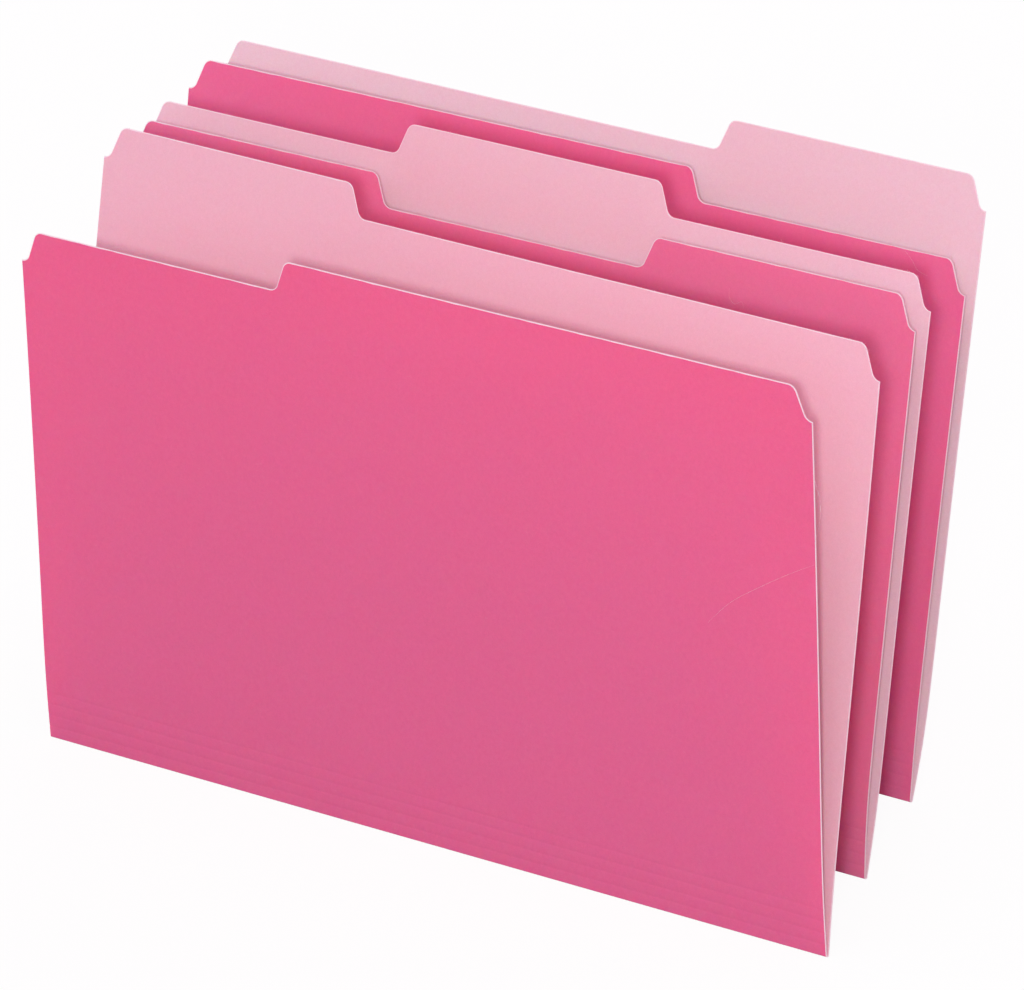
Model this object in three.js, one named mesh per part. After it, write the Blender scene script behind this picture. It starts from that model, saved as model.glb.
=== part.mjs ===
import * as THREE from "three";

// A set of three tabbed file folders of stiff card, standing on their folds one behind another.
// Millimetres, +Z up. X runs along the folds and +Y points to the back.

// The card sheet: its width along the fold, the heights of both covers above the fold, and the tab
const sheetWidth = 374.65;
const backHeight = 228.6;
const frontHeight = 222.25;
const tabRise = 12.7;
const tabWidth = 124.9;
const undercutDepth = 12.7;
const undercutSpread = 3;
const cardThickness = 0.28;

// The die-cut ends: how far the side edge stops below the top edge, and the curve between them
const shoulderDrop = 12.7;
const curveRadius = 4;
const curveSteepness = THREE.MathUtils.degToRad(68);
const arcSteps = 3;

// The fold: outer width of its flat bottom, height of its two lips, and the crease above the
// front lip, where the front cover turns. The back cover goes straight on from the back lip.
const foldWidth = 1.3;
const lipHeight = 2;
const creaseSlit = 0.4;

// Height over which a cover bends from its lean at the fold to its lean above, and its facets
const bendReach = 30;
const bendRows = 6;
const upperRow = 3 * bendReach;
const curveStride = 0.5;

// How far each folder of the row stands behind and to the left of the one in front of it
const middleBehind = 72.5;
const middleToLeft = 36.5;
const rearBehind = 76;
const rearToLeft = 35;

// Which third of each folder has the tab, and how its covers lean back from upright, in degrees
const folders = [
  {
    name: "front_folder",
    shiftX: 0,
    shiftY: 0,
    tabPlace: "left",
    front: { lean: -2.8, leanAtFold: -15 },
    back: { lean: 8.3, leanAtFold: 3 },
  },
  {
    name: "middle_folder",
    shiftX: -middleToLeft,
    shiftY: middleBehind,
    tabPlace: "centre",
    front: { lean: 7.9, leanAtFold: 0 },
    back: { lean: 8.5, leanAtFold: 13 },
  },
  {
    name: "rear_folder",
    shiftX: -middleToLeft - rearToLeft,
    shiftY: middleBehind + rearBehind,
    tabPlace: "right",
    front: { lean: 8.3, leanAtFold: 2.5 },
    back: { lean: 10.2, leanAtFold: 15 },
  },
];

// Colours of the two sides of the card, the darker one outside
const outsideColour = "#dc6289";
const insideColour = "#eaafc1";
const cardRoughness = 0.8;

const halfWidth = sheetWidth / 2;

// The S-shaped cut that climbs by rise: offsets along the edge and up, from its foot to its head.
// It is an arc, a steep straight and an arc again, and flatter arcs where the rise is small.
function climbingCut(rise) {
  const radius = Math.min(curveRadius, rise / 2 / (1 - Math.cos(curveSteepness)));
  const arcHeight = radius * (1 - Math.cos(curveSteepness));
  const arcLength = radius * Math.sin(curveSteepness);
  const straightHeight = rise - 2 * arcHeight;
  const straightLength = straightHeight / Math.tan(curveSteepness);
  const width = 2 * arcLength + straightLength;
  const foot = [];
  for (let step = 0; step <= arcSteps; step += 1) {
    const turn = (curveSteepness * step) / arcSteps;
    foot.push([radius * Math.sin(turn), radius * (1 - Math.cos(turn))]);
  }
  const head = foot.map(([along, up]) => [width - along, rise - up]).reverse();
  return { width, points: [...foot, ...head] };
}

// Points of a cover's top edge from left to right, as [x, height above the fold]. Each level is
// { from, to, height }, and the cuts between levels, and down to the side edges, are centred on
// the places where the level changes.
function topEdge(levels) {
  const edge = [];
  const climb = (x, low, high) => {
    const cut = climbingCut(high - low);
    cut.points.forEach(([along, up]) => edge.push([x + along, low + up]));
  };
  const fall = (x, high, low) => {
    const cut = climbingCut(high - low);
    const mirrored = cut.points.map(([along, up]) => [x + cut.width - along, low + up]);
    mirrored.reverse().forEach((point) => edge.push(point));
  };
  const first = levels[0].height;
  const last = levels[levels.length - 1].height;
  climb(-halfWidth, first - shoulderDrop, first);
  for (let index = 1; index < levels.length; index += 1) {
    const before = levels[index - 1].height;
    const after = levels[index].height;
    const start = levels[index].from - climbingCut(Math.abs(after - before)).width / 2;
    if (after > before) climb(start, before, after);
    else fall(start, before, after);
  }
  fall(halfWidth - climbingCut(shoulderDrop).width, last, last - shoulderDrop);
  return edge;
}

// A third-cut level: the height changes over the tab's third and is plain over the other two
function thirdCut(place, plainHeight, thirdHeight, spread) {
  const width = tabWidth + spread;
  if (place === "left") {
    return [
      { from: -halfWidth, height: thirdHeight },
      { from: -halfWidth + width, height: plainHeight },
    ];
  }
  if (place === "right") {
    return [
      { from: -halfWidth, height: plainHeight },
      { from: halfWidth - width, height: thirdHeight },
    ];
  }
  return [
    { from: -halfWidth, height: plainHeight },
    { from: -width / 2, height: thirdHeight },
    { from: width / 2, height: plainHeight },
  ];
}

// Middle of the card in side view, as [y, z, lean], for a list of distances along it from the
// fold. side is -1 for a front cover and 1 for a back cover.
function sideCurve(cover, side, distances) {
  const upper = THREE.MathUtils.degToRad(cover.lean);
  const extra = THREE.MathUtils.degToRad(cover.leanAtFold) - upper;
  const leanAt = (distance) => upper + extra * Math.exp(-((distance / bendReach) ** 2));
  let y = (side * (foldWidth - cardThickness)) / 2;
  let z = cardThickness / 2;
  let travelled = 0;
  return distances.map((distance) => {
    const pieces = Math.max(1, Math.ceil((distance - travelled) / curveStride));
    const piece = (distance - travelled) / pieces;
    for (let index = 0; index < pieces; index += 1) {
      const lean = leanAt(travelled + piece / 2);
      y += piece * Math.sin(lean);
      z += piece * Math.cos(lean);
      travelled += piece;
    }
    return [y, z, leanAt(distance)];
  });
}

// A closed body from a grid of column by row points, each on two skins
function bodyFromGrid(columns, rows, pointAt) {
  const positions = [];
  const index = [];
  const place = (skin, column, row) => (skin * columns + column) * rows + row;
  for (let skin = 0; skin < 2; skin += 1) {
    for (let column = 0; column < columns; column += 1) {
      for (let row = 0; row < rows; row += 1) positions.push(...pointAt(skin, column, row));
    }
  }
  const quad = (a, b, c, d) => index.push(a, b, c, a, c, d);
  for (let column = 0; column + 1 < columns; column += 1) {
    for (let row = 0; row + 1 < rows; row += 1) {
      const near = [[0, 0], [1, 0], [1, 1], [0, 1]].map(([c, r]) => place(0, column + c, row + r));
      const far = [[0, 0], [0, 1], [1, 1], [1, 0]].map(([c, r]) => place(1, column + c, row + r));
      quad(...near);
      quad(...far);
    }
    quad(place(1, column, 0), place(1, column + 1, 0), place(0, column + 1, 0), place(0, column, 0));
    const top = rows - 1;
    quad(place(0, column, top), place(0, column + 1, top), place(1, column + 1, top), place(1, column, top));
  }
  for (let row = 0; row + 1 < rows; row += 1) {
    const end = columns - 1;
    quad(place(0, 0, row), place(0, 0, row + 1), place(1, 0, row + 1), place(1, 0, row));
    quad(place(1, end, row), place(1, end, row + 1), place(0, end, row + 1), place(0, end, row));
  }
  const geometry = new THREE.BufferGeometry();
  geometry.setAttribute("position", new THREE.Float32BufferAttribute(positions, 3));
  geometry.setIndex(index);
  geometry.computeVertexNormals();
  return geometry;
}

// One cover: the card between its start above the fold and its die-cut top edge
function coverGeometry(cover, side, start, levels) {
  const edge = topEdge(levels);
  const lowestTop = Math.min(...edge.map(([, height]) => height));
  const bendTop = Math.min(2 * bendReach, lowestTop / 2);
  const evenRows = [];
  for (let row = 0; row <= bendRows; row += 1) {
    evenRows.push(start + ((bendTop - start) * row) / bendRows);
  }
  evenRows.push(Math.min(upperRow, (bendTop + lowestTop) / 2));
  const rows = evenRows.length + 1;
  const curves = edge.map(([, height]) => sideCurve(cover, side, [...evenRows, height]));
  return bodyFromGrid(edge.length, rows, (skin, column, row) => {
    const [y, z, lean] = curves[column][row];
    const offset = (skin === 0 ? -cardThickness : cardThickness) / 2;
    return [edge[column][0], y + offset * Math.cos(lean), z - offset * Math.sin(lean)];
  });
}

// The fold: a narrow channel with a flat bottom, whose lips lead into the two covers
function foldGeometry(front, back) {
  const lipEnd = (cover, side, offset) => {
    const [[y, z, lean]] = sideCurve(cover, side, [lipHeight]);
    return [y + offset * Math.cos(lean), z - offset * Math.sin(lean)];
  };
  const outer = foldWidth / 2;
  const inner = outer - cardThickness;
  const half = cardThickness / 2;
  const outline = new THREE.Shape(
    [
      [-outer, 0],
      [outer, 0],
      lipEnd(back, 1, half),
      lipEnd(back, 1, -half),
      [inner, cardThickness],
      [-inner, cardThickness],
      lipEnd(front, -1, half),
      lipEnd(front, -1, -half),
    ].map(([y, z]) => new THREE.Vector2(y, z)),
  );
  const geometry = new THREE.ExtrudeGeometry(outline, { depth: sheetWidth, bevelEnabled: false });
  geometry.translate(0, 0, -halfWidth);
  // The outline was drawn as side view y and z, so its depth becomes x
  geometry.applyMatrix4(new THREE.Matrix4().set(0, 0, 1, 0, 1, 0, 0, 0, 0, 1, 0, 0, 0, 0, 0, 1));
  return geometry;
}

function cardMesh(name, geometry, colour) {
  const material = new THREE.MeshStandardMaterial({
    color: colour,
    roughness: cardRoughness,
    metalness: 0,
  });
  const mesh = new THREE.Mesh(geometry, material);
  mesh.name = name;
  return mesh;
}

function folderGroup(folder) {
  const { name, front, back, tabPlace } = folder;
  const frontLevels = thirdCut(tabPlace, frontHeight, frontHeight - undercutDepth, undercutSpread);
  const backLevels = thirdCut(tabPlace, backHeight, backHeight + tabRise, 0);
  const frontCover = coverGeometry(front, -1, lipHeight + creaseSlit, frontLevels);
  const backCover = coverGeometry(back, 1, lipHeight, backLevels);
  const group = new THREE.Group();
  group.add(cardMesh(`${name}_fold`, foldGeometry(front, back), outsideColour));
  group.add(cardMesh(`${name}_front_cover`, frontCover, outsideColour));
  group.add(cardMesh(`${name}_back_cover`, backCover, insideColour));
  group.position.set(folder.shiftX, folder.shiftY, 0);
  return group;
}

const set = new THREE.Group();
folders.forEach((folder) => set.add(folderGroup(folder)));

// The origin is on the surface that the folders stand on, under the middle of the whole set
const bounds = new THREE.Box3().setFromObject(set);
const centre = bounds.getCenter(new THREE.Vector3());
set.position.set(-centre.x, -centre.y, 0);

export default set;
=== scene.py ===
import math
import random

import bpy
import numpy as np
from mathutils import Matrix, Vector


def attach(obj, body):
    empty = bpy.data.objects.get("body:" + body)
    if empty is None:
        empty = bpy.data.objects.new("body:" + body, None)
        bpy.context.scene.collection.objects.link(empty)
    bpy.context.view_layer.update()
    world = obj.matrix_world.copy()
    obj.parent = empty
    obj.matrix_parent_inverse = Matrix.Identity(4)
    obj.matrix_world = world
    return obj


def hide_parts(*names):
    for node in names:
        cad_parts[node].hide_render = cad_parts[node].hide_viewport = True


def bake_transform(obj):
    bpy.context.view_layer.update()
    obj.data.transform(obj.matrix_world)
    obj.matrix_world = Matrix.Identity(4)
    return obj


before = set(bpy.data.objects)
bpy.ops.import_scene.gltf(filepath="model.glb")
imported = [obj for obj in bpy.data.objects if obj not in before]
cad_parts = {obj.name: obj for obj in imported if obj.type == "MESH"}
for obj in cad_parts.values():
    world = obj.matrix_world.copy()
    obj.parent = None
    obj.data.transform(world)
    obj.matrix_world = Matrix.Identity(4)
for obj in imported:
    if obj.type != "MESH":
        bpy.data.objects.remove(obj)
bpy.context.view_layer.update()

# Three tabbed file folders of two-tone card, dark outside and light inside.
# Lengths in the dictionaries are millimetres and angles are degrees; the scene is in metres.
mm = 0.001

# The sheet that each folder is folded from
card = {
    "width": 374.65,
    "frontHeight": 222.25,
    "backHeight": 228.6,
    "tabRise": 12.7,        # how far the tab stands above the rest of the back cover
    "tabWidth": 124.9,
    "undercutDepth": 12.7,  # how much lower the front cover is in front of the tab
    "undercutSpread": 3.0,  # and how much wider than the tab
    "thickness": 0.28,
    "bendReach": 30.0,      # the bend above the fold fades out over this height
    "bowSpan": 230.0,       # height over which a cover's bow is counted
    "bowMiddle": 0.6,       # share of that height where the bow adds nothing
    "foldRound": 1.0,       # card taken up by half of the rounded fold
}
halfWidth = card["width"] / 2

# Where each folder stands, its colours, and how its covers lean back from upright. The three
# folders
# are the same card: the paler tones of the middle and rear folders are painted light, not a paler
# dye.
# twist is how much more the right end leans than the middle, and bow how much more the top leans
# than the fold.
frontFolder = {
    "name": "front_folder", "x": 35.75, "y": -88.471, "tab": "left", "wavePhase": 0.8,
    "outside": (247, 115, 160), "inside": (248, 199, 212),
    "front": {"lean": -3.2, "atFold": -6.0, "twist": 0.2, "foldTwist": 0.0, "bow": -1.5},
    "back": {"lean": 8.3, "atFold": 5.5, "twist": -0.9, "foldTwist": 0.0, "bow": -0.8},
}
middleFolder = {
    "name": "middle_folder", "x": -0.75, "y": -15.971, "tab": "centre", "wavePhase": 2.7,
    # paler than the front folder's tones: painted light standing in for more light on this folder
    "outside": (245, 134, 175), "inside": (248, 212, 222),
    "front": {"lean": 7.7, "atFold": 0.1, "twist": 0.8, "foldTwist": 0.8, "bow": 0.3},
    "back": {"lean": 8.3, "atFold": 12.9, "twist": 0.7, "foldTwist": 0.65, "bow": 1.5},
}
rearFolder = {
    "name": "rear_folder", "x": -35.75, "y": 60.029, "tab": "right", "wavePhase": 4.6,
    # paler than the front folder's tones: painted light standing in for more light on this folder
    "outside": (245, 126, 171), "inside": (247, 219, 226),
    "front": {"lean": 8.2, "atFold": 4.4, "twist": 1.5, "foldTwist": 1.2, "bow": 1.4},
    "back": {"lean": 10.06, "atFold": 16.2, "twist": -0.26, "foldTwist": 0.9, "bow": 1.3},
}

# The S-shaped die cuts, and how far the side edges stop below the top edge
dieCut = {"radius": 4.0, "steepness": 68.0, "arcSteps": 9, "shoulderDrop": 12.7}


def climbingCut(rise):
    # the cut between two levels, as points along and up from its foot
    steep = math.radians(dieCut["steepness"])
    steps = dieCut["arcSteps"]
    radius = min(dieCut["radius"], rise / 2 / (1 - math.cos(steep)))
    arcHeight = radius * (1 - math.cos(steep))
    straight = (rise - 2 * arcHeight) / math.tan(steep)
    width = 2 * radius * math.sin(steep) + straight
    foot = [(radius * math.sin(steep * i / steps), radius * (1 - math.cos(steep * i / steps)))
            for i in range(steps + 1)]
    head = [(width - along, rise - up) for along, up in reversed(foot)]
    return width, foot + head


def topEdge(levels):
    # points of the top edge from left to right, from levels of (start, height)
    edge = []

    def climb(x, low, high):
        edge.extend((x + along, low + up) for along, up in climbingCut(high - low)[1])

    def fall(x, high, low):
        width, points = climbingCut(high - low)
        edge.extend((x + width - along, low + up) for along, up in reversed(points))

    first, last, drop = levels[0][1], levels[-1][1], dieCut["shoulderDrop"]
    climb(-halfWidth, first - drop, first)
    for (_, before), (place, after) in zip(levels, levels[1:]):
        start = place - climbingCut(abs(after - before))[0] / 2
        if after > before:
            climb(start, before, after)
        else:
            fall(start, before, after)
    fall(halfWidth - climbingCut(drop)[0], last, last - drop)
    return edge


def thirdCut(place, plain, third, spread):
    # the height changes over the tab's third and is plain over the other two
    width = card["tabWidth"] + spread
    if place == "left":
        return [(-halfWidth, third), (-halfWidth + width, plain)]
    if place == "right":
        return [(-halfWidth, plain), (halfWidth - width, third)]
    return [(-halfWidth, plain), (-width / 2, third), (width / 2, plain)]


def coverEdge(folder, side):
    # side is -1 for a front cover, cut lower in front of the tab, and 1 for a back cover
    if side < 0:
        plain = card["frontHeight"]
        lower = plain - card["undercutDepth"]
        return topEdge(thirdCut(folder["tab"], plain, lower, card["undercutSpread"]))
    plain = card["backHeight"]
    return topEdge(thirdCut(folder["tab"], plain, plain + card["tabRise"], 0.0))


# The pale strip that the die leaves beside an edge. Each ripple is its share, length and shift.
rim = {"width": 0.36, "ripples": ((0.18, 3.1, 0.0), (0.14, 1.3, 1.0)), "steepest": 2.6}

# How closely the points of a cover stand
spacing = {
    "columns": 5.0,         # widest step between columns
    "sideView": 0.2,        # step for adding up the side view
    "pastTop": 2,           # and how far past the longest column it goes
    "foldRows": (0.0, 0.15, 0.3, 0.45, 0.6, 0.75, 0.9, 1.05, 1.4, 1.8, 2.2, 2.6, 3.0, 3.5),
    "scoreRows": (-1.4, -0.9, -0.6, -0.3, 0.0, 0.3, 0.6, 0.9, 1.4),  # beside a scored line
    "lowerRows": (23.0, 80.0, 3.0),   # from, to and step
    "upperStep": 5.0,
    "topClear": 8.0,        # the even rows end this far below the lowest top edge
    "topRows": (0.25, 0.5, 0.75, 1.0),   # shares of what is left up to the pale strip
    "sharpAngle": 35.0,     # edges that turn more than this are shaded sharp
}

# Scored lines that let the fold open wider, as height above the fold and depth
scores = {"heights": (4.8, 9.5, 14.3, 19.0), "depth": 0.08, "halfWidth": 0.45}

# Slow unevenness of a real sheet: a broad swell across and up, and a shorter slanting one
swell = {
    "depth": 0.16, "fadeIn": 60.0, "across": 47.0, "up": 61.0, "upShift": 1.7,
    "slantShare": 0.5, "slantAcross": 23.0, "slantUp": 90.0, "slantShift": 2.3,
}


def filledColumns(edge):
    # the edge's points, with more between them where they are far apart
    (beforeX, beforeTop), (endX, endTop) = edge[-2:]
    share = rim["width"] / (endX - beforeX)
    rimPoint = (endX - rim["width"], endTop + (beforeTop - endTop) * share)
    edge = edge[:-1] + [rimPoint, edge[-1]]
    columns = [edge[0]]
    for x, top in edge[1:]:
        lastX, lastTop = columns[-1]
        parts = max(1, math.ceil((x - lastX) / spacing["columns"]))
        for i in range(1, parts + 1):
            share = i / parts
            columns.append((lastX + (x - lastX) * share, lastTop + (top - lastTop) * share))
    return columns


def leanField(cover, side, across, along):
    # lean in radians at each column (across, -1 to 1) and distance along the card from the fold
    height = np.maximum(along - card["foldRound"] / 2, 0.0)
    bend = np.exp(-(height / card["bendReach"]) ** 2)
    bow = cover["bow"] * (height / card["bowSpan"] - card["bowMiddle"])
    upper = cover["lean"] + (cover["twist"] * across + bow) * (1 - bend)
    lean = upper + (cover["atFold"] - cover["lean"] + cover["foldTwist"] * across) * bend
    ease = np.clip(along / card["foldRound"], 0, 1)
    ease = ease * ease * (3 - 2 * ease)
    return np.radians(side * 90 * (1 - ease) + lean * ease)


def rimHeights(columns):
    # height of the pale strip under the top edge, taller where the edge is steep
    xs, tops = np.array(columns).T
    slope = np.abs(np.gradient(tops, xs))
    uneven = 1
    for share, length, shift in rim["ripples"]:
        uneven = uneven + share * np.sin(xs / length + shift)
    return rim["width"] * uneven * np.minimum(np.sqrt(1 + slope ** 2), rim["steepest"])


def rowPlan(lowestTop):
    # distances along the card shared by all columns, close together at the fold and the scores
    fixed = list(spacing["foldRows"])
    for height in scores["heights"]:
        middle = height + card["foldRound"] / 2
        fixed += [middle + off for off in spacing["scoreRows"]]
    fixed += list(np.arange(*spacing["lowerRows"]))
    upperEnd = lowestTop - spacing["topClear"]
    fixed += list(np.arange(spacing["lowerRows"][1], upperEnd, spacing["upperStep"]))
    shared = np.array(sorted(set(round(value, 3) for value in fixed)))

    def rowsOf(top, rimHeight):
        end = top + card["foldRound"] / 2
        rest = end - rimHeight - shared[-1]
        return np.concatenate([shared, shared[-1] + rest * np.array(spacing["topRows"]), [end]])
    return rowsOf


def cardPoints(cover, side, columns, rowsOf):
    # centre points and leans of the card for every column and row
    across = np.array([x for x, _ in columns]) / halfWidth
    longest = max(top for _, top in columns) + spacing["pastTop"]
    step = spacing["sideView"]
    along = np.arange(0, longest + step, step)
    middles = along[:-1] + step / 2
    lean = leanField(cover, side, across[:, None], middles[None, :])
    start = np.zeros((len(columns), 1))
    y = np.concatenate([start, np.cumsum(np.sin(lean) * step, 1)], 1)
    z = np.concatenate([start, np.cumsum(np.cos(lean) * step, 1)], 1)
    z += card["thickness"] / 2
    result = []
    rims = rimHeights(columns)
    for i, (x, top) in enumerate(columns):
        rows = rowsOf(top, rims[i])
        leans = leanField(cover, side, across[i], rows)
        yRows, zRows = np.interp(rows, along, y[i]), np.interp(rows, along, z[i])
        result.append((x, rows, yRows, zRows, leans))
    return result


def wave(x, along, phase):
    # how far the sheet swells out of its plain curve, nothing at the fold
    fade = np.clip(along / swell["fadeIn"], 0, 1)
    sideways = np.sin(x / swell["across"] + phase)
    value = sideways * np.sin(along / swell["up"] + swell["upShift"] * phase)
    slant = x / swell["slantAcross"] + swell["slantShift"] * phase + along / swell["slantUp"]
    value += swell["slantShare"] * np.sin(slant)
    return value * fade * swell["depth"]


def scorePress(along):
    depth = np.zeros_like(along)
    for height in scores["heights"]:
        middle = height + card["foldRound"] / 2
        depth += scores["depth"] * np.exp(-((along - middle) / scores["halfWidth"]) ** 2)
    return depth


def coverMesh(name, folder, side, materials):
    # one cover with its half of the fold, as a closed thin sheet of two skins and their edges
    cover = folder["front"] if side < 0 else folder["back"]
    columns = filledColumns(coverEdge(folder, side))
    rowsOf = rowPlan(min(top for _, top in columns))
    points = cardPoints(cover, side, columns, rowsOf)
    rowCount = len(points[0][1])
    count = len(columns)
    half = card["thickness"] / 2
    vertices = []
    for skin in (-1, 1):    # -1 looks to -Y, 1 looks to +Y
        for x, along, y, z, leans in points:
            push = wave(x, along, folder["wavePhase"]) + scorePress(along) * -side + skin * half
            vy = folder["y"] + y + push * np.cos(leans)
            vz = z - push * np.sin(leans)
            vertices.append(np.stack([np.full(rowCount, folder["x"] + x), vy, vz], 1))
    vertices = np.concatenate(vertices) * mm

    def at(skin, column, row):
        return (skin * count + column) * rowCount + row

    outsideSlot, insideSlot, cutSlot = 0, 1, 2
    nearSlot, farSlot = (outsideSlot, insideSlot) if side < 0 else (insideSlot, outsideSlot)
    top, end = rowCount - 1, count - 1
    faces, slots = [], []

    def addFace(corners, slot):
        faces.append(tuple(at(*corner) for corner in corners))
        slots.append(slot)

    for c in range(end):
        for r in range(top):
            onRim = r == top - 1 or c == end - 1
            addFace([(0, c, r), (0, c + 1, r), (0, c + 1, r + 1), (0, c, r + 1)],
                    cutSlot if onRim else nearSlot)
            addFace([(1, c, r), (1, c, r + 1), (1, c + 1, r + 1), (1, c + 1, r)],
                    cutSlot if onRim else farSlot)
        addFace([(0, c, top), (0, c + 1, top), (1, c + 1, top), (1, c, top)], cutSlot)
        addFace([(1, c, 0), (1, c + 1, 0), (0, c + 1, 0), (0, c, 0)], cutSlot)
    for r in range(top):
        addFace([(0, 0, r), (0, 0, r + 1), (1, 0, r + 1), (1, 0, r)], cutSlot)
        addFace([(1, end, r), (1, end, r + 1), (0, end, r + 1), (0, end, r)], cutSlot)
    return makePiece(name, vertices.tolist(), faces, materials, slots)


def makePiece(name, vertices, faces, materials, slots=None):
    # slots gives each face's material, for a piece that has more than one
    mesh = bpy.data.meshes.new(name)
    mesh.from_pydata(vertices, [], faces)
    for material in materials:
        mesh.materials.append(material)
    mesh.polygons.foreach_set("use_smooth", [True] * len(faces))
    if slots:
        mesh.polygons.foreach_set("material_index", slots)
        mesh.set_sharp_from_angle(angle=math.radians(spacing["sharpAngle"]))
        mesh.update()
    piece = bpy.data.objects.new(name, mesh)
    bpy.context.scene.collection.objects.link(piece)
    return piece


def linear(rgb):
    # screen colour, 0 to 255, to the renderer's linear values
    def one(value):
        value /= 255
        return value / 12.92 if value <= 0.04045 else ((value + 0.055) / 1.055) ** 2.4
    return tuple(one(value) for value in rgb) + (1.0,)


def grey(value):
    return (value, value, value, 1.0)


def newMaterial(name):
    material = bpy.data.materials.new(name)
    material.use_nodes = True
    tree = material.node_tree
    return material, tree, tree.nodes["Principled BSDF"]


def objectPlace(tree):
    return tree.nodes.new("ShaderNodeTexCoord").outputs["Object"]


def noiseNode(tree, place, scale, detail, roughness=0.5):
    node = tree.nodes.new("ShaderNodeTexNoise")
    node.inputs["Scale"].default_value = scale
    node.inputs["Detail"].default_value = detail
    node.inputs["Roughness"].default_value = roughness
    tree.links.new(place, node.inputs["Vector"])
    return node.outputs["Fac"]


def stretched(tree, place, scale):
    node = tree.nodes.new("ShaderNodeMapping")
    node.inputs["Scale"].default_value = scale
    tree.links.new(place, node.inputs["Vector"])
    return node.outputs["Vector"]


def ramp(tree, value, span, lowColour, highColour):
    node = tree.nodes.new("ShaderNodeValToRGB")
    for element, position, colour in zip(node.color_ramp.elements, span, (lowColour, highColour)):
        element.position = position
        element.color = colour
    tree.links.new(value, node.inputs["Fac"])
    return node.outputs["Color"]


def mixed(tree, factor, a, b, blend="MIX"):
    # factor, a and b are each a value or another node's output
    node = tree.nodes.new("ShaderNodeMix")
    node.data_type = "RGBA"
    node.blend_type = blend
    if isinstance(factor, float):
        node.inputs["Factor"].default_value = factor
    else:
        tree.links.new(factor, node.inputs["Factor"])
    for socket, value in (("A", a), ("B", b)):
        target = [s for s in node.inputs if s.name == socket and s.type == "RGBA"][0]
        if isinstance(value, tuple):
            target.default_value = value
        else:
            tree.links.new(value, target)
    return [s for s in node.outputs if s.type == "RGBA"][0]


def bumped(tree, shader, height, strength, distance):
    bump = tree.nodes.new("ShaderNodeBump")
    bump.inputs["Strength"].default_value = strength
    bump.inputs["Distance"].default_value = distance
    tree.links.new(height, bump.inputs["Height"])
    tree.links.new(bump.outputs["Normal"], shader.inputs["Normal"])


# Dyed card: cloudy fibre formation, fine grain and short pale fibres. Colours are 0 to 255.
cardFinish = {
    "deeper": (3, 8, 7),            # how much darker the thin places of the card are
    "clouds": {"scale": 640, "detail": 5, "roughness": 0.65},
    "grain": {"scale": 1900, "detail": 3, "roughness": 0.7},
    "spread": (0.25, 0.75),         # part of the noise that goes from one tone to the other
    "grainTones": (0.93, 1.06),
    "grainShare": 0.7,
    "fibreStretch": (520, 520, 2600),
    "fibres": {"scale": 1.0, "detail": 2, "roughness": 0.4},
    "fibreSpread": (0.70, 0.80),
    "fibreStrength": 0.35,
    "outsideFibre": (240, 152, 180),
    "insideFibre": (250, 220, 230),
    "sheenSpots": {"scale": 700, "detail": 2},
    "roughness": (0.68, 0.86),
    "gloss": 0.22,
    "sheen": 0.04,
    "sheenRoughness": 0.5,
    "bump": 0.25,
    "bumpDepth": 0.06 * mm,
    "outsideGlow": 0.8,             # thin card lets a little light through, mostly the red part
    "insideGlow": 0.25,
    "glowRadius": (1.0, 0.1, 0.3),
    "glowDepth": 0.8 * mm,
}


def cardMaterial(name, main, fibreTint, glowWeight):
    finish = cardFinish
    material, tree, shader = newMaterial(name)
    place = objectPlace(tree)
    deep = tuple(value - less for value, less in zip(main, finish["deeper"]))
    clouds = noiseNode(tree, place, **finish["clouds"])
    colour = ramp(tree, clouds, finish["spread"], linear(deep), linear(main))
    grain = noiseNode(tree, place, **finish["grain"])
    grainTone = ramp(tree, grain, finish["spread"], *(grey(tone) for tone in finish["grainTones"]))
    colour = mixed(tree, finish["grainShare"], colour, grainTone, "MULTIPLY")
    fibres = noiseNode(tree, stretched(tree, place, finish["fibreStretch"]), **finish["fibres"])
    fibreMask = ramp(tree, fibres, finish["fibreSpread"], grey(0.0), grey(finish["fibreStrength"]))
    colour = mixed(tree, fibreMask, colour, linear(fibreTint))
    tree.links.new(colour, shader.inputs["Base Color"])
    rough = noiseNode(tree, place, **finish["sheenSpots"])
    roughRange = tree.nodes.new("ShaderNodeMapRange")
    smoothest, roughest = finish["roughness"]
    roughRange.inputs["To Min"].default_value = smoothest
    roughRange.inputs["To Max"].default_value = roughest
    tree.links.new(rough, roughRange.inputs["Value"])
    tree.links.new(roughRange.outputs["Result"], shader.inputs["Roughness"])
    shader.inputs["Specular IOR Level"].default_value = finish["gloss"]
    shader.inputs["Sheen Weight"].default_value = finish["sheen"]
    shader.inputs["Sheen Roughness"].default_value = finish["sheenRoughness"]
    shader.inputs["Subsurface Weight"].default_value = glowWeight
    shader.inputs["Subsurface Radius"].default_value = finish["glowRadius"]
    shader.inputs["Subsurface Scale"].default_value = finish["glowDepth"]
    bumped(tree, shader, grain, finish["bump"], finish["bumpDepth"])
    return material


# The pale core that shows where the card was cut
cutFinish = {
    "tones": ((255, 226, 235), (255, 242, 246)), "spread": (0.3, 0.7),
    "nap": {"scale": 2400, "detail": 2},
    "roughness": 0.9, "gloss": 0.1, "bump": 0.3, "bumpDepth": 0.05 * mm,
}

# Loose paper fibre, pale and a little glossy
fibreFinish = {
    "tones": ((240, 170, 190), (255, 226, 234)), "spread": (0.35, 0.65),
    "patches": {"scale": 900, "detail": 1},
    "roughness": 0.55,
}


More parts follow.
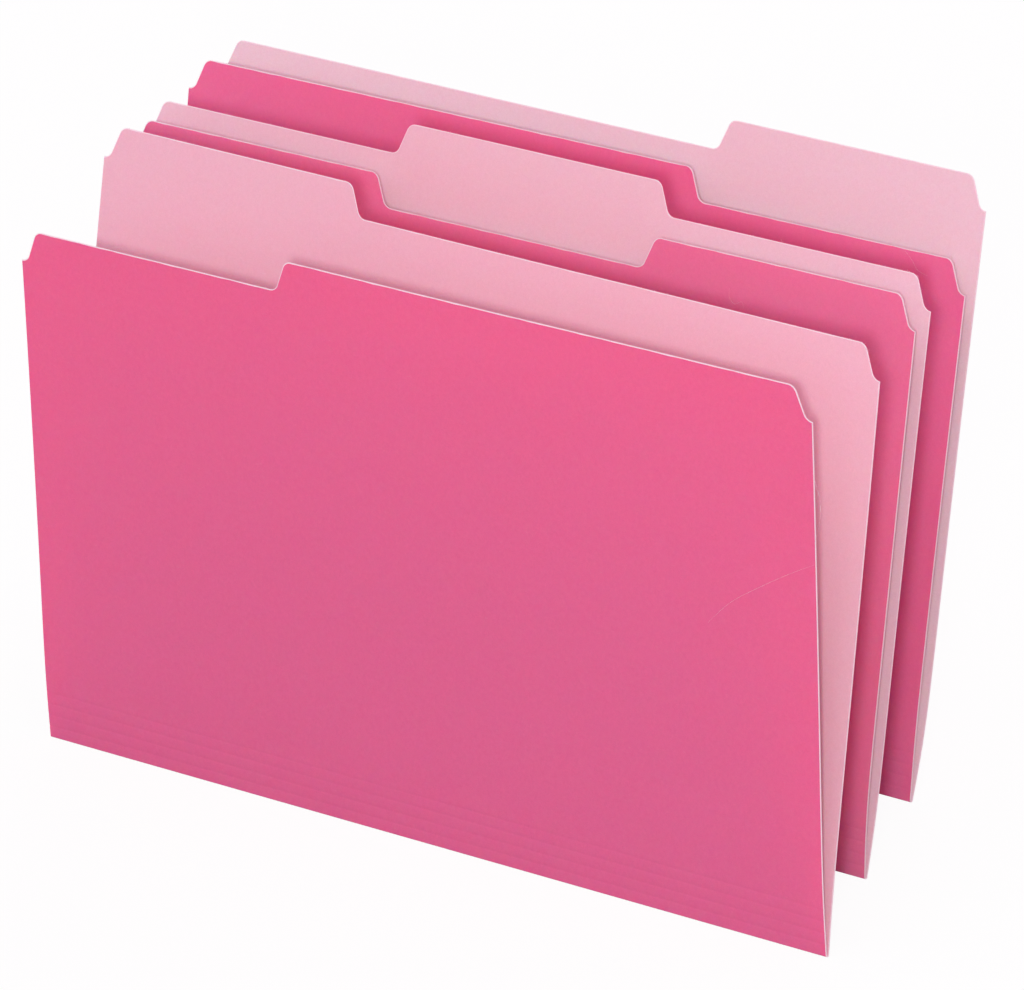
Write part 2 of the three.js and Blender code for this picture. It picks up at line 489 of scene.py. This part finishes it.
def cutMaterial():
    material, tree, shader = newMaterial("cut_card")
    nap = noiseNode(tree, objectPlace(tree), **cutFinish["nap"])
    colour = ramp(tree, nap, cutFinish["spread"], *(linear(tone) for tone in cutFinish["tones"]))
    tree.links.new(colour, shader.inputs["Base Color"])
    shader.inputs["Roughness"].default_value = cutFinish["roughness"]
    shader.inputs["Specular IOR Level"].default_value = cutFinish["gloss"]
    bumped(tree, shader, nap, cutFinish["bump"], cutFinish["bumpDepth"])
    return material


def fibreMaterial():
    material, tree, shader = newMaterial("loose_fibre")
    patches = noiseNode(tree, objectPlace(tree), **fibreFinish["patches"])
    tones = (linear(tone) for tone in fibreFinish["tones"])
    colour = ramp(tree, patches, fibreFinish["spread"], *tones)
    tree.links.new(colour, shader.inputs["Base Color"])
    shader.inputs["Roughness"].default_value = fibreFinish["roughness"]
    return material


cutCard = cutMaterial()
fibreCard = fibreMaterial()
print("edge and fibre materials made")


def makeFolder(folder):
    name = folder["name"]
    outside = cardMaterial(name + "_outside", folder["outside"], cardFinish["outsideFibre"],
                           cardFinish["outsideGlow"])
    inside = cardMaterial(name + "_inside", folder["inside"], cardFinish["insideFibre"],
                          cardFinish["insideGlow"])
    materials = (outside, inside, cutCard)
    front = coverMesh(name + "_front_card", folder, -1, materials)
    back = coverMesh(name + "_back_card", folder, 1, materials)
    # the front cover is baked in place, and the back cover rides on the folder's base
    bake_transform(front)
    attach(back, name + "_base")
    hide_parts(name + "_front_cover")
    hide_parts(name + "_back_cover", name + "_fold")


for folder in (frontFolder, middleFolder, rearFolder):
    makeFolder(folder)
print("folders made")

# Hairs lying on a cover. Each path is places as x from the middle, height along the card and lift.
hairs = [
    {"name": "hair_long", "folder": frontFolder, "side": -1, "radius": 0.05,
     "path": [(137.3, 121.6, 0.2), (148.8, 132.4, 0.7), (162.8, 141.6, 1.2), (176.3, 149.6, 0.9),
              (187.0, 155.1, 0.3)]},
    {"name": "hair_edge", "folder": frontFolder, "side": -1, "radius": 0.08,
     "path": [(186.9, 190.6, 0.1), (188.6, 186.0, 0.4), (190.2, 181.0, 0.6), (189.9, 173.0, 0.5),
              (187.1, 163.6, 0.2)]},
    {"name": "hair_middle", "folder": middleFolder, "side": -1, "radius": 0.045,
     "path": [(102.3, 210.0, 0.2), (103.0, 206.5, 0.5), (105.6, 204.6, 0.6), (108.6, 206.0, 0.4),
              (109.8, 203.5, 0.2)]},
    {"name": "hair_rear", "folder": rearFolder, "side": -1, "radius": 0.045,
     "path": [(157.8, 209.3, 0.2), (162.0, 206.2, 0.5), (165.0, 203.0, 0.5), (169.5, 201.6, 0.3)]},
]

# Fluff that cutting leaves on a top edge: x places where a tuft stands, and its fibres' length
tufts = [
    {"name": "fluff_front_back", "folder": frontFolder, "side": 1,
     "at": (178.9, 180.6, 182.4), "length": 1.5},
    {"name": "fluff_middle_front", "folder": middleFolder, "side": -1,
     "at": (119.8, 121.2, 181.0), "length": 1.3},
    {"name": "fluff_middle_back", "folder": middleFolder, "side": 1,
     "at": (117.3, 175.3, 179.8, 182.0), "length": 1.3},
    {"name": "fluff_rear_front", "folder": rearFolder, "side": -1,
     "at": (178.8, 180.4), "length": 1.4},
]
fluff = {
    "radius": 0.06, "perTuft": 2, "jitter": 0.3,
    "lengths": (0.6, 1.1),          # shares of the tuft's length
    "lean": 0.8, "curl": 0.5,       # at most, in radians and as a share of the length
    "shares": (0, 0.4, 0.75, 1),    # where a fibre's points stand along it
    "depth": 0.15,                  # how far below the edge a fibre starts
    "lift": (-0.14, 0.35),          # off the card at the foot, and at most added at the tip
    "napCount": 60, "napSpan": (-180, 183), "napLengths": (0.25, 0.6),
}
# Shape of every hair and fluff fibre, and how finely its curve is drawn
fibre ={"sides": 5, "tipSize": 0.35, "tipShare": 0.06, "hairSteps": 8, "fluffSteps": 4}
rng = random.Random(11)


def placeOnCover(folder, side, x, along, lift):
    # a point on the dark face of a front cover or the light face of a back cover
    cover = folder["front"] if side < 0 else folder["back"]
    step = spacing["sideView"]
    middles = np.arange(0, along, step) + step / 2
    across = np.clip(x / halfWidth, -1, 1)
    lean = leanField(cover, side, across, middles)
    y, z = np.sin(lean).sum() * step, np.cos(lean).sum() * step + card["thickness"] / 2
    away = card["thickness"] / 2 + lift
    y, z = y - away * math.cos(lean[-1]), z + away * math.sin(lean[-1])
    return Vector((folder["x"] + x, folder["y"] + y, z)) * mm


def smoothPath(points, between):
    # Catmull-Rom curve through the points
    ends = [points[0] * 2 - points[1]] + points + [points[-1] * 2 - points[-2]]
    path = []
    for a, b, c, d in zip(ends, ends[1:], ends[2:], ends[3:]):
        for i in range(between):
            t = i / between
            path.append(0.5 * (2 * b + (c - a) * t + (2 * a - 5 * b + 4 * c - d) * t * t
                               + (3 * b - a - 3 * c + d) * t * t * t))
    return path + [points[-1]]


def fibreMesh(name, paths, radius):
    # thin tubes that narrow towards their ends
    sides, tipSize, tipShare = fibre["sides"], fibre["tipSize"], fibre["tipShare"]
    vertices, faces = [], []
    for path in paths:
        first = len(vertices)
        for i, point in enumerate(path):
            ahead = (path[min(i + 1, len(path) - 1)] - path[max(i - 1, 0)]).normalized()
            sideways = ahead.orthogonal().normalized()
            other = ahead.cross(sideways)
            share = min(max(i / (len(path) - 1), tipShare), 1 - tipShare)
            size = radius * mm * (tipSize + (1 - tipSize) * math.sin(math.pi * share))
            for k in range(sides):
                turn = 2 * math.pi * k / sides
                off = sideways * math.cos(turn) + other * math.sin(turn)
                vertices.append(tuple(point + off * size))
        for i in range(len(path) - 1):
            for k in range(sides):
                a, b = first + i * sides + k, first + i * sides + (k + 1) % sides
                faces.append((a, b, b + sides, a + sides))
        faces.append(tuple(first + k for k in reversed(range(sides))))
        faces.append(tuple(first + (len(path) - 1) * sides + k for k in range(sides)))
    return makePiece(name, vertices, faces, [fibreCard])


def rideOnCover(piece, folder, side):
    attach(piece, folder["name"] + ("_cover" if side < 0 else "_base"))


def makeHair(hair):
    points = [placeOnCover(hair["folder"], hair["side"], *place) for place in hair["path"]]
    piece = fibreMesh(hair["name"], [smoothPath(points, fibre["hairSteps"])], hair["radius"])
    rideOnCover(piece, hair["folder"], hair["side"])


def makeFluff(tuft):
    folder, side = tuft["folder"], tuft["side"]
    xs, tops = np.array(coverEdge(folder, side)).T
    liftAtFoot, liftGain = fluff["lift"]

    def strand(x, length):
        along = float(np.interp(x, xs, tops)) + card["foldRound"] / 2 - fluff["depth"]
        lean = rng.uniform(-fluff["lean"], fluff["lean"])
        curl = rng.uniform(-fluff["curl"], fluff["curl"])
        points = []
        for share in fluff["shares"]:
            up = length * share * math.cos(lean)
            off = length * (share * math.sin(lean) + share * share * curl)
            lift = liftAtFoot + liftGain * share * rng.random()
            points.append(placeOnCover(folder, side, x + off, along + up, lift))
        return smoothPath(points, fibre["fluffSteps"])

    jitter, lengths = fluff["jitter"], fluff["lengths"]
    paths = [strand(x + rng.uniform(-jitter, jitter), tuft["length"] * rng.uniform(*lengths))
             for x in tuft["at"] for _ in range(fluff["perTuft"])]
    # shorter nap here and there along the whole edge
    paths += [strand(rng.uniform(*fluff["napSpan"]), rng.uniform(*fluff["napLengths"]))
              for _ in range(fluff["napCount"])]
    rideOnCover(fibreMesh(tuft["name"], paths, fluff["radius"]), folder, side)


for hair in hairs:
    makeHair(hair)
for tuft in tufts:
    makeFluff(tuft)
print("fibres made")

# Floor and room, in metres. The camera sees the floor and the room nearly white.
stage = {
    "halfSize": 30.0, "drop": 0.0001, "albedo": 0.5, "roughness": 0.9, "whiteShare": 0.94,
    "roomTint": (1.0, 0.74, 0.9), "roomLevel": 0.66,
}

# Lamps, with their distances and sizes in metres. They all look at lampAim.
lampTint = (0.92, 1.0, 0.96)
lamps = [
    {"name": "key_light", "azimuth": 36.0, "elevation": 17.0, "distance": 4.2, "size": 0.3,
     "power": 59.0, "tint": lampTint},
    {"name": "soft_box", "azimuth": 26.0, "elevation": 8.0, "distance": 4.2, "size": 2.0,
     "power": 7.0, "tint": lampTint},
    {"name": "top_light", "azimuth": 30.0, "elevation": 66.0, "distance": 3.0, "size": 1.8,
     "power": 15.0, "tint": lampTint},
    {"name": "rear_fill", "azimuth": 205.0, "elevation": 30.0, "distance": 4.0, "size": 3.0,
     "power": 38.0, "tint": (1.0, 1.0, 1.0)},
]
lampAim = Vector((0, 0, 0.12))

# Camera: aim and distance in millimetres, focal length in pixels of a picture 1024 wide
shot = {
    "target": (17.29, -15.08, 115.0), "distance": 3959.2, "azimuth": 38.47, "elevation": 18.93,
    "focalPixels": 10452.0, "imageWidth": 1024, "sensorWidth": 36.0, "clip": (0.1, 100.0),
}


def direction(azimuth, elevation):
    # from the object towards a place in front of it, azimuth turning to the right
    a, e = math.radians(azimuth), math.radians(elevation)
    return Vector((math.sin(a) * math.cos(e), -math.cos(a) * math.cos(e), math.sin(e)))


def makeFloor():
    size = stage["halfSize"]
    mesh = bpy.data.meshes.new("floor")
    corners = [(-size, -size, 0), (size, -size, 0), (size, size, 0), (-size, size, 0)]
    mesh.from_pydata(corners, [], [(0, 1, 2, 3)])
    floor = bpy.data.objects.new("floor", mesh)
    bpy.context.scene.collection.objects.link(floor)
    floor.location.z = -stage["drop"]
    material, tree, shader = newMaterial("pale_floor")
    shader.inputs["Roughness"].default_value = stage["roughness"]
    shader.inputs["Specular IOR Level"].default_value = 0.0
    white = tree.nodes.new("ShaderNodeEmission")
    white.inputs["Color"].default_value = grey(1.0)
    seen = tree.nodes.new("ShaderNodeLightPath").outputs["Is Camera Ray"]
    paint = mixed(tree, seen, grey(stage["albedo"]), grey(1.0))
    tree.links.new(paint, shader.inputs["Base Color"])
    share = tree.nodes.new("ShaderNodeMath")
    share.operation = "MULTIPLY"
    share.inputs[1].default_value = stage["whiteShare"]
    tree.links.new(seen, share.inputs[0])
    blend = tree.nodes.new("ShaderNodeMixShader")
    tree.links.new(share.outputs["Value"], blend.inputs["Fac"])
    tree.links.new(shader.outputs["BSDF"], blend.inputs[1])
    tree.links.new(white.outputs["Emission"], blend.inputs[2])
    tree.links.new(blend.outputs["Shader"], tree.nodes["Material Output"].inputs["Surface"])
    mesh.materials.append(material)


def makeRoom():
    world = bpy.data.worlds.new("studio")
    bpy.context.scene.world = world
    world.use_nodes = True
    tree = world.node_tree
    tree.nodes.clear()
    seen = tree.nodes.new("ShaderNodeLightPath").outputs["Is Camera Ray"]
    soft = tree.nodes.new("ShaderNodeBackground")
    soft.inputs["Color"].default_value = stage["roomTint"] + (1.0,)
    soft.inputs["Strength"].default_value = stage["roomLevel"]
    white = tree.nodes.new("ShaderNodeBackground")
    white.inputs["Color"].default_value = grey(1.0)
    white.inputs["Strength"].default_value = 1.0
    blend = tree.nodes.new("ShaderNodeMixShader")
    output = tree.nodes.new("ShaderNodeOutputWorld")
    tree.links.new(seen, blend.inputs["Fac"])
    tree.links.new(soft.outputs["Background"], blend.inputs[1])
    tree.links.new(white.outputs["Background"], blend.inputs[2])
    tree.links.new(blend.outputs["Shader"], output.inputs["Surface"])


def makeLamp(lamp):
    data = bpy.data.lights.new(lamp["name"], "AREA")
    data.shape = "DISK"
    data.size = lamp["size"]
    data.energy = lamp["power"]
    data.color = lamp["tint"]
    holder = bpy.data.objects.new(lamp["name"], data)
    bpy.context.scene.collection.objects.link(holder)
    towards = direction(lamp["azimuth"], lamp["elevation"])
    holder.location = lampAim + towards * lamp["distance"]
    holder.rotation_euler = towards.to_track_quat("Z", "Y").to_euler()


def makeCamera():
    data = bpy.data.cameras.new("camera")
    camera = bpy.data.objects.new("camera", data)
    bpy.context.scene.collection.objects.link(camera)
    data.sensor_width = shot["sensorWidth"]
    data.lens = shot["focalPixels"] * shot["sensorWidth"] / shot["imageWidth"]
    data.clip_start, data.clip_end = shot["clip"]
    towards = direction(shot["azimuth"], shot["elevation"])
    camera.location = Vector(shot["target"]) * mm + towards * shot["distance"] * mm
    tilt, turn = math.radians(90 - shot["elevation"]), math.radians(shot["azimuth"])
    camera.rotation_euler = (tilt, 0, turn)
    bpy.context.scene.camera = camera


makeFloor()
makeRoom()
for lamp in lamps:
    makeLamp(lamp)
makeCamera()
bpy.context.scene.view_settings.view_transform = "Standard"
print("floor, light and camera made")
